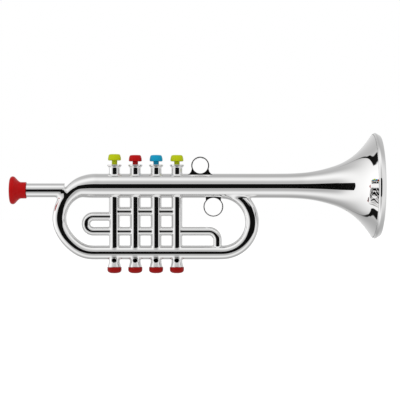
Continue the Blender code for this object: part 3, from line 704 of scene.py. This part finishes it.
def bore_shade_kinds(points, faces):
    """1 for a face of a casing's bore, which isn't plated and takes a near-black colour as painted shade,
    and 0 for any other face.
    """
    kinds = []
    for face in faces:
        x, y, _ = np.mean([points[n] for n in face], axis=0)
        near = min(math.hypot(x - place, y) for place in CASING_X)
        kinds.append(1 if near < BORE_R + BORE_SPARE else 0)
    return kinds


# Finger rings: middle in x and z, outer radius, wall, flank of the web and where the web ends in z.
# A flank is a row of (sideways, towards the tube) places, in outer radii.

UPPER_WEB = ((0.93, 0.37), (0.96, 0.55), (1.03, 0.72), (1.17, 0.88), (1.36, 0.99), (1.42, 1.05))
LOWER_WEB = ((0.76, 0.65), (0.76, 0.90))
UPPER_RING = (54.5, 53.4, 9.0, 1.3, UPPER_WEB, 40.0)
LOWER_RING = (67.6, 12.4, 9.9, 1.15, LOWER_WEB, 24.0)
RING_HALF_DEPTH, RING_EASE, RING_STEPS = 5.2, 0.22, 96


def ring_plate(name, cx, cz, outer, wall, flank, end_z, side):
    """A finger ring's band with its web, as a flat outline with eased edges, cut at the seam."""
    curve = bpy.data.curves.new(name, "CURVE")
    curve.dimensions = "2D"
    curve.fill_mode = "BOTH"
    half = (RING_HALF_DEPTH - SEAM) / 2
    curve.extrude = (half - RING_EASE) * MM
    curve.bevel_depth = RING_EASE * MM
    curve.bevel_resolution = 3

    def on_circle(radius, turn):
        return cx + radius * math.cos(turn), cz + radius * math.sin(turn)

    away = 1 if end_z > cz else -1
    first = math.atan2(flank[0][1] * away, flank[0][0])
    sweep = away * math.pi + 2 * first
    turns = [first - sweep * k / RING_STEPS for k in range(RING_STEPS + 1)]
    outline = [on_circle(outer - RING_EASE, turn) for turn in turns]
    left = [(cx - outer * a, cz + away * outer * b) for a, b in flank]
    right = [(cx + outer * a, cz + away * outer * b) for a, b in reversed(flank)]
    outline += left[1:] + [(left[-1][0], end_z), (right[0][0], end_z)] + right[:-1]
    turns = [2 * math.pi * k / RING_STEPS for k in range(RING_STEPS)]
    hole = [on_circle(outer - wall + RING_EASE, turn) for turn in turns]
    for ring in (outline, hole):
        spline = curve.splines.new("POLY")
        spline.points.add(len(ring) - 1)
        for spot, (x, z) in zip(spline.points, ring):
            spot.co = (x * MM, z * MM, 0, 1)
        spline.use_cyclic_u = True
    obj = bpy.data.objects.new(name, curve)
    bpy.context.scene.collection.objects.link(obj)
    obj.rotation_euler = (math.pi / 2, 0, 0)
    obj.location = (0, side * (SEAM + half) * MM, 0)
    bpy.context.view_layer.update()
    mesh = bpy.data.meshes.new_from_object(obj.evaluated_get(bpy.context.evaluated_depsgraph_get()))
    mesh.transform(obj.matrix_world)
    bpy.data.objects.remove(obj, do_unlink=True)
    return mesh


def plate_part(*plan):
    """A ring plate's points in millimetres, with corner normals that keep its flat faces flat."""
    mesh = ring_plate(*plan)
    mesh.shade_smooth()
    mesh.set_sharp_from_angle(angle=math.radians(30))
    points = np.array([v.co for v in mesh.vertices]) / MM
    faces = [list(p.vertices) for p in mesh.polygons]
    corners = np.zeros(len(mesh.loops) * 3, np.float32)
    mesh.corner_normals.foreach_get("vector", corners)
    bpy.data.meshes.remove(mesh)
    return points, faces, corners.reshape(-1, 3)


def body_half(name, side, node):
    """One half of the body, on the front at side -1 and on the back at 1."""
    bell = turned(bell_profile(), BELL_STEPS, half=side)
    lead = turned(lead_profile(), LEAD_STEPS, half=side)
    parts = [net_part(side), moved(bell, (0, 0, MAIN_Z)), moved(lead, (0, 0, LEAD_Z))]
    parts.append(plate_part("upper_ring", *UPPER_RING, side))
    parts.append(plate_part("lower_ring", *LOWER_RING, side))
    points, faces, normals = gathered(parts)
    # The bore faces take the near-black colour, which is painted shade.
    obj = mesh_object(name, points, faces, normals, bore_shade_kinds(points, faces))
    return dress(obj, "trumpet", "plated_body", CHROME, BORE_PAINTED_SHADE, stands_for=(node,))


# Turned pieces

KEY_UNDERSIDES = (58.6, 57.7, 57.7, 57.7)
KEY_COLOURS = (LIME, RED, BLUE, LIME)
KEY_SLOTS = ("lime_plastic", "red_plastic", "blue_plastic", "lime_plastic")


def turned_piece(name, profile, place, axis, body, slot, made, node, steps=96, closed=True):
    """A turned piece of one material that stands for one CAD node."""
    part = turned(profile, steps, closed=closed)
    points, faces, normals = moved(part, place, axis)
    return dress(mesh_object(name, points, faces, normals), body, slot, made, stands_for=(node,))


def rim_ring():
    """The rolled ring that clamps the bell's edge."""
    back, front, floor = 226.6, 233.8, 229.6
    # The crown is an arc about the outer radius at the back and about the inner one at the front.
    outer, inner, crown, ease, bell_socket = 50.74, 48.9, 2.0, 0.4, 51.6
    profile = [(51.7, back), (51.83, back + 0.1)]
    profile += corner_arc(outer, back + crown, crown, -33, 33, 12)
    profile += corner_arc(inner, front - crown, crown, 33, 90, 10)
    profile += corner_arc(inner, front - ease, ease, 90, 180, 3)[1:]
    profile += [(inner - ease, floor), (bell_socket, floor), (bell_socket, back)]
    return list(reversed(profile))


def mouthpiece_profile():
    """The cup mouthpiece: sleeve, cone, rim and cup, with the lead pipe's socket inside."""
    sleeve = corner_arc(7.9, -119.7, 0.3, 90, 0, 4)
    cone = spline_profile((
        (8.2, -125.0), (8.8, -126.3), (10.2, -128.0), (12.0, -129.7), (13.4, -131.1),
        (14.0, -132.8), (13.75, -134.1), (12.95, -135.0), (11.9, -135.4), (10.9, -135.1),
        (10.2, -134.5), (8.7, -133.1), (6.1, -130.0), (3.6, -127.8), (2.5, -126.6),
    ), 60)
    return [(5.8, -119.4)] + sleeve + cone + [(2.5, -125.1), (5.8, -125.1)]


def collar_profile():
    """A funnel collar and its spigot, about the casing's axis."""
    throat = ((7.2, 53.7), (7.05, 53.05), (6.5, 52.45), (6.0, 52.0), (5.75, 51.4))
    funnel = spline_profile(throat, 16)
    top = corner_arc(6.75, 53.95, 0.45, 90, 0, 5)
    dish = [(3.05, 46.4), (3.05, 53.35), (3.3, 53.55), (5.6, 53.7), (6.3, 54.3)]
    return dish + top + funnel + [(3.7, 51.4), (3.7, 46.4)]


def button_profile(under):
    """A mushroom key cap with its stem and the plunger's socket."""
    top = under + 6.3
    crown = spline_profile((
        (2.6, top), (4.4, top - 0.04), (5.2, top - 0.35), (5.7, top - 1.0), (6.0, top - 1.9),
        (6.25, top - 2.9), (6.42, top - 4.0), (6.5, top - 5.0), (6.4, top - 5.75), (6.0, top - 6.2),
        (5.5, top - 6.3),
    ), 44)
    stem_r, stem_end = 2.75, under - 13.7
    socket_r, socket_top = 1.9, stem_end + 6.0
    stem = [(stem_r, under), (stem_r, stem_end)]
    stem += [(socket_r, stem_end), (socket_r, socket_top), (0, socket_top)]
    return [(0, top)] + crown + stem


def cap_profile():
    """A domed bottom cap with the spigot that goes up into the casing."""
    plug = [(0, -45.1), (3.7, -45.1), (3.7, -49.5), (6.45, -49.5), (6.45, -48.2)]
    side = corner_arc(6.85, -48.25, 0.25, 90, 0, 4)
    dome = spline_profile((
        (7.1, -50.2), (7.03, -51.2), (6.65, -52.2), (5.8, -53.05), (4.4, -53.7), (2.4, -54.05),
        (1.0, -54.1),
    ), 24)
    return plug + side + dome + [(0, -54.1)]


def build_fittings():
    turned_piece(
        "bell_ring", rim_ring(), (0, 0, MAIN_Z), "X", "trumpet", "plated_body", CHROME,
        "bell_rim_ring", steps=256,
    )
    turned_piece(
        "cup_mouthpiece", mouthpiece_profile(), (0, 0, LEAD_Z), "X", "trumpet", "red_plastic", RED,
        "mouthpiece", steps=128,
    )
    for index, x in enumerate(CASING_X):
        number, place = index + 1, (x, 0, 0)
        turned_piece(
            f"collar_{number}", collar_profile(), place, "Z", "trumpet", "plated_body", CHROME,
            f"valve_collar_{number}",
        )
        # The caps take the darker red copy, which is painted shade.
        turned_piece(
            f"end_cap_{number}", cap_profile(), place, "Z", "trumpet", "red_plastic", CAP_RED_SHADED,
            f"bottom_cap_{number}", closed=False,
        )
        button = button_profile(KEY_UNDERSIDES[index])
        turned_piece(
            f"key_cap_{number}", button, place, "Z", f"key_{number}",
            KEY_SLOTS[index], KEY_COLOURS[index], f"key_button_{number}", closed=False,
        )


# Pieces inside the casings

INNER_FINISH = {
    "plunger": NATURAL,
    "reed_holder": NATURAL,
    "valve_pad": RUBBER,
    "reed": BRASS,
}


def dress_inner_nodes():
    """The CAD pieces inside the casings keep their shapes and take finished materials."""
    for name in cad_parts:
        finish = INNER_FINISH.get(name.rsplit("_", 1)[0])
        if finish:
            obj = bpy.data.objects[name]
            for slot in obj.material_slots:
                slot.material = finish


SPRING_LOW, SPRING_HIGH, SPRING_R, WIRE_R = -2.65, 10.75, 2.85, 0.34
SPRING_TURNS, SPOTS_PER_TURN, WIRE_SPOTS = 5, 20, 8


def coil(x):
    """The points and faces of a spring of round wire about a key's axis, with shut ends."""
    points, faces = [], []
    count = SPRING_TURNS * SPOTS_PER_TURN
    rise = SPRING_HIGH - SPRING_LOW - 2 * WIRE_R
    for k in range(count + 1):
        turn = 2 * math.pi * k / SPOTS_PER_TURN
        height = SPRING_LOW + WIRE_R + rise * k / count
        for n in range(WIRE_SPOTS):
            angle = 2 * math.pi * n / WIRE_SPOTS
            radius = SPRING_R + WIRE_R * math.cos(angle)
            z = height + WIRE_R * math.sin(angle)
            points.append((x + radius * math.cos(turn), radius * math.sin(turn), z))
    for first in range(0, count * WIRE_SPOTS, WIRE_SPOTS):
        for n in range(WIRE_SPOTS):
            here, after = first + n, first + (n + 1) % WIRE_SPOTS
            faces.append((here, here + WIRE_SPOTS, after + WIRE_SPOTS, after))
    faces.append(tuple(range(WIRE_SPOTS)))
    faces.append(tuple(reversed(range(count * WIRE_SPOTS, (count + 1) * WIRE_SPOTS))))
    return points, faces


def build_springs():
    """The return springs, as fixed coils, each with a mesh of its own; on the toy they shorten as the
    keys go down.
    """
    for index, x in enumerate(CASING_X):
        number = index + 1
        obj = mesh_object(f"coil_spring_{number}", *coil(x))
        dress(obj, "trumpet", "spring_steel", STEEL, stands_for=(f"return_spring_{number}",))
        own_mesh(obj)


# Studio

DEGREES = 180 / math.pi
CURVE_TOP = 1.25


class Sums:
    """Short calls for the Math nodes of one tree."""

    def __init__(self, tree):
        self.tree = tree

    def node(self, operation, *values):
        made = self.tree.nodes.new("ShaderNodeMath")
        made.operation = operation
        for socket, value in zip(made.inputs, values):
            if isinstance(value, (int, float)):
                socket.default_value = value
            else:
                self.tree.links.new(value, socket)
        return made.outputs[0]

    def add(self, a, b):
        return self.node("ADD", a, b)

    def less(self, a, b):
        return self.node("SUBTRACT", a, b)

    def times(self, a, b):
        return self.node("MULTIPLY", a, b)

    def smooth(self, value, low, high):
        """0 below low, 1 above high and an even passage between."""
        made = self.tree.nodes.new("ShaderNodeMapRange")
        made.interpolation_type = "SMOOTHSTEP"
        made.inputs["From Min"].default_value = low
        made.inputs["From Max"].default_value = high
        self.tree.links.new(value, made.inputs["Value"])
        return made.outputs["Result"]

    def curve(self, value, points):
        """A value read off a curve of (angle in degrees, brightness) points.

        A ramp's colours end at 1, so it holds the curve's levels as shares of CURVE_TOP.
        """
        made = self.tree.nodes.new("ShaderNodeValToRGB")
        ramp = made.color_ramp
        ramp.interpolation = "B_SPLINE"
        ends = list(ramp.elements)
        inner = [ramp.elements.new(angle / 180) for angle, _ in points[1:-1]]
        for element, (_, level) in zip([ends[0]] + inner + [ends[1]], points):
            share = level / CURVE_TOP
            element.color = (share, share, share, 1)
        self.tree.links.new(self.times(value, 1 / 180), made.inputs[0])
        return self.times(made.outputs["Color"], CURVE_TOP)


# Brightness of the panels above, below, left and right, by the angle from straight ahead

TOP_LIGHT = (
    (0, 0.46), (21, 0.47), (31, 0.49), (41, 0.60), (51, 0.83), (62, 0.98), (73, 0.92), (85, 0.68),
    (99, 0.43), (117, 0.50), (138, 0.52), (158, 0.68), (170, 0.66), (180, 0.60),
)
BOTTOM_LIGHT = (
    (0, 0.34), (27, 0.34), (37, 0.38), (47, 0.52), (57, 0.78), (68, 0.96), (80, 0.90), (93, 0.58),
    (108, 0.42), (126, 0.36), (140, 0.48), (155, 0.64), (170, 0.66), (180, 0.60),
)
LEFT_LIGHT = (
    (0, 0.50), (30, 0.55), (40, 0.60), (50, 0.68), (58, 0.84), (66, 0.98), (74, 1.02), (87, 1.08),
    (100, 1.17), (112, 1.17), (118, 0.90), (124, 0.45), (132, 0.48), (145, 0.60), (158, 0.70),
    (180, 0.60),
)
RIGHT_LIGHT = (
    (0, 0.50), (40, 0.62), (55, 0.74), (70, 0.78), (82, 0.82), (92, 0.68), (104, 0.56), (117, 0.64),
    (137, 0.66), (160, 0.62), (180, 0.58),
)

# Edges of the dark card in front, with a soft border: how far sideways or up for one of forward

CARD_LEFT, CARD_RIGHT = (-0.76, -0.73), (1.46, 1.42)
CARD_TOP, CARD_BOTTOM = (0.305, 0.285), (-0.475, -0.45)
CARD_DARKNESS = 0.99

# Behind on the left the panels end in dark gaps. A line is (height at 0, rise for each degree round)
# in degrees, and a gap is above its first lines and below its second ones.

UPPER_GAP = (((7.2, 0.556), (19.2, 0)), ((0, 0.96), (326, -8)))
LOWER_GAP = (((8.8, 0.476),), ((9.45, 0.57), (-166, 8), (329.6, -8)))
UPPER_SEAM, LOWER_SEAM = (10.3, 0.62), (14.2, 0.41)
GAP_BORDER = 0.4
UPPER_LEFT_GAIN = 0.08


def panel_light(sums, x, y, z):
    """Soft panels all round: brightness by the angle from straight ahead and by the way it leans."""
    angle = sums.times(sums.node("ARCCOSINE", sums.times(y, -1)), DEGREES)
    flat = sums.node("MAXIMUM", sums.add(sums.times(x, x), sums.times(z, z)), 1e-6)
    upright = sums.node("DIVIDE", sums.times(z, z), flat)
    aside = sums.node("POWER", sums.less(1, upright), 2)
    left = sums.smooth(x, 0.05, -0.05)
    above = sums.smooth(z, -0.02, 0.02)

    gain = sums.add(1, sums.times(sums.smooth(x, -0.02, -0.14), UPPER_LEFT_GAIN))
    high = sums.times(sums.times(sums.curve(angle, TOP_LIGHT), gain), above)
    low = sums.times(sums.curve(angle, BOTTOM_LIGHT), sums.less(1, above))
    side = sums.times(sums.curve(angle, LEFT_LIGHT), left)
    side = sums.add(side, sums.times(sums.curve(angle, RIGHT_LIGHT), sums.less(1, left)))
    return sums.add(sums.times(side, aside), sums.times(sums.add(high, low), sums.less(1, aside)))


def front_card(sums, x, y, z):
    """1 on the dark card in front of the object, a rectangle seen square on."""
    forward = sums.node("MAXIMUM", sums.times(y, -1), 0.02)
    across = sums.node("DIVIDE", x, forward)
    along = sums.node("DIVIDE", z, forward)
    inside = sums.times(sums.smooth(across, *CARD_LEFT), sums.smooth(across, *CARD_RIGHT))
    inside = sums.times(inside, sums.smooth(along, *CARD_TOP))
    return sums.times(inside, sums.smooth(along, *CARD_BOTTOM))


def dark_gaps(sums, x, y, z):
    """1 in the gaps behind on the left, above and below, and on the thin seam beyond each of them."""
    behind = sums.times(sums.node("ARCTAN2", y, sums.times(x, -1)), DEGREES)
    rise = sums.times(sums.node("ARCSINE", z), DEGREES)
    fall = sums.times(rise, -1)

    def over_line(height, line):
        """How far a height lies above a line."""
        return sums.less(height, sums.add(line[0], sums.times(behind, line[1])))

    def gap_between(height, lows, highs):
        part = 1
        for line in lows:
            part = sums.times(part, sums.smooth(over_line(height, line), -GAP_BORDER, GAP_BORDER))
        for line in highs:
            part = sums.times(part, sums.smooth(over_line(height, line), GAP_BORDER, -GAP_BORDER))
        return part

    def seam_along(height, line):
        """A thin dark line that fades away from the gap."""
        near = sums.smooth(sums.node("ABSOLUTE", over_line(height, line)), 2.2, 1.3)
        near = sums.times(near, sums.smooth(behind, 34, 36))
        near = sums.times(near, sums.smooth(behind, 74, 62))
        return sums.times(near, sums.add(0.35, sums.times(sums.smooth(behind, 52, 40), 0.6)))

    gap = sums.add(gap_between(rise, *UPPER_GAP), gap_between(fall, *LOWER_GAP))
    seam = sums.add(seam_along(rise, UPPER_SEAM), seam_along(fall, LOWER_SEAM))
    return sums.node("MAXIMUM", gap, seam)


def studio_pattern(tree):
    """What bright metal sees: soft panels round it, a dark card in front and dark gaps behind.

    It depends on the direction only: X to the right, Y to the back and Z up.
    """
    sums = Sums(tree)
    place = tree.nodes.new("ShaderNodeTexCoord")
    parts = tree.nodes.new("ShaderNodeSeparateXYZ")
    tree.links.new(place.outputs["Generated"], parts.inputs[0])
    x, y, z = parts.outputs
    dark = sums.node("MAXIMUM", front_card(sums, x, y, z), dark_gaps(sums, x, y, z))
    return sums.times(panel_light(sums, x, y, z), sums.less(1, sums.times(dark, CARD_DARKNESS)))


# Lamp, floor, small card and camera, in metres

SOFT_LIGHT = 0.85
LAMP_PLACE, LAMP_AIM, LAMP_SIZE, LAMP_POWER = (-0.5, -0.9, 1.3), (0.04, 0.0, 0.0), 1.2, 6.0
FLOOR_REACH, FLOOR_LEVEL, FLOOR_GLOW = 12.0, -0.2, 0.35
FLAG_LOW, FLAG_HIGH, FLAG_DEPTH = (0.137, 0.0105), (0.175, 0.0465), -0.06
CAMERA_PLACE, CAMERA_LENS, SENSOR_WIDTH = (0.0543, -1.3, 0.0191), 117.0, 36.0


def build_world():
    """The pattern for the plating's reflections, an even soft light and a white backdrop."""
    world = bpy.data.worlds.new("studio")
    bpy.context.scene.world = world
    world.use_nodes = True
    world.cycles.sampling_method = "NONE"
    tree = world.node_tree
    tree.nodes.clear()
    sums = Sums(tree)
    path = tree.nodes.new("ShaderNodeLightPath")
    mirrored = sums.node("MAXIMUM", path.outputs["Is Glossy Ray"], path.outputs["Is Transmission Ray"])
    seen = path.outputs["Is Camera Ray"]
    plain = sums.less(1, sums.node("MAXIMUM", seen, mirrored))
    light = sums.times(mirrored, studio_pattern(tree))
    light = sums.add(light, sums.times(plain, SOFT_LIGHT))
    light = sums.add(light, seen)
    background = tree.nodes.new("ShaderNodeBackground")
    tree.links.new(light, background.inputs["Strength"])
    background.inputs["Color"].default_value = (1, 1, 1, 1)
    output = tree.nodes.new("ShaderNodeOutputWorld")
    tree.links.new(background.outputs[0], output.inputs["Surface"])


def build_lamp():
    data = bpy.data.lights.new("soft_lamp", "AREA")
    data.shape = "DISK"
    data.size = LAMP_SIZE
    data.energy = LAMP_POWER
    lamp = bpy.data.objects.new("soft_lamp", data)
    bpy.context.scene.collection.objects.link(lamp)
    lamp.location = LAMP_PLACE
    aim = mathutils.Vector(LAMP_AIM) - lamp.location
    lamp.rotation_euler = aim.to_track_quat("-Z", "Y").to_euler()
    lamp.visible_glossy = False


def flat_sheet(name, corners):
    mesh = bpy.data.meshes.new(name)
    mesh.from_pydata(corners, [], [(0, 1, 2, 3)])
    sheet = bpy.data.objects.new(name, mesh)
    bpy.context.scene.collection.objects.link(sheet)
    return sheet


def build_floor():
    """A wide pale floor below the held toy. To the camera it reads as the white of the backdrop."""
    turns = ((-1, -1), (1, -1), (1, 1), (-1, 1))
    corners = [(a * FLOOR_REACH, b * FLOOR_REACH, FLOOR_LEVEL) for a, b in turns]
    floor = flat_sheet("floor", corners)
    made, tree, shader = material("floor_paper", (0.86, 0.86, 0.86), 0.9)
    sums = Sums(tree)
    path = tree.nodes.new("ShaderNodeLightPath")
    glow = sums.times(path.outputs["Is Camera Ray"], FLOOR_GLOW)
    tree.links.new(glow, shader.inputs["Emission Strength"])
    shader.inputs["Emission Color"].default_value = (1, 1, 1, 1)
    cloud = ranged(tree, noise(tree, 3.0), 0, 1)
    tinted(tree, shader, cloud, (0.85, 0.85, 0.85), (0.87, 0.87, 0.87))
    floor.data.materials.append(made)
    floor.visible_glossy = False


def build_flag():
    """A small dark card by the bell that only its plating sees, as the near end of the big card."""
    (left, bottom), (right, top) = FLAG_LOW, FLAG_HIGH
    sides = ((left, bottom), (right, bottom), (right, top), (left, top))
    flag = flat_sheet("flag", [(x, FLAG_DEPTH, z) for x, z in sides])
    made, _, _ = material("flag_black", (0.003, 0.003, 0.003), 1.0)
    flag.data.materials.append(made)
    flag.visible_camera = False
    flag.visible_diffuse = False
    flag.visible_shadow = False
    flag.visible_transmission = False


def build_camera():
    data = bpy.data.cameras.new("photo_view")
    data.lens, data.sensor_width = CAMERA_LENS, SENSOR_WIDTH
    data.clip_start = 0.01
    camera = bpy.data.objects.new("photo_view", data)
    bpy.context.scene.collection.objects.link(camera)
    camera.location = CAMERA_PLACE
    camera.rotation_euler = (math.pi / 2, 0, 0)
    bpy.context.scene.camera = camera


body_half("front_half", -1, "body_half_front")
body_half("back_half", 1, "body_half_back")
build_fittings()
dress_inner_nodes()
build_springs()
build_world()
build_lamp()
build_floor()
build_flag()
build_camera()
bpy.context.scene.view_settings.view_transform = "Standard"
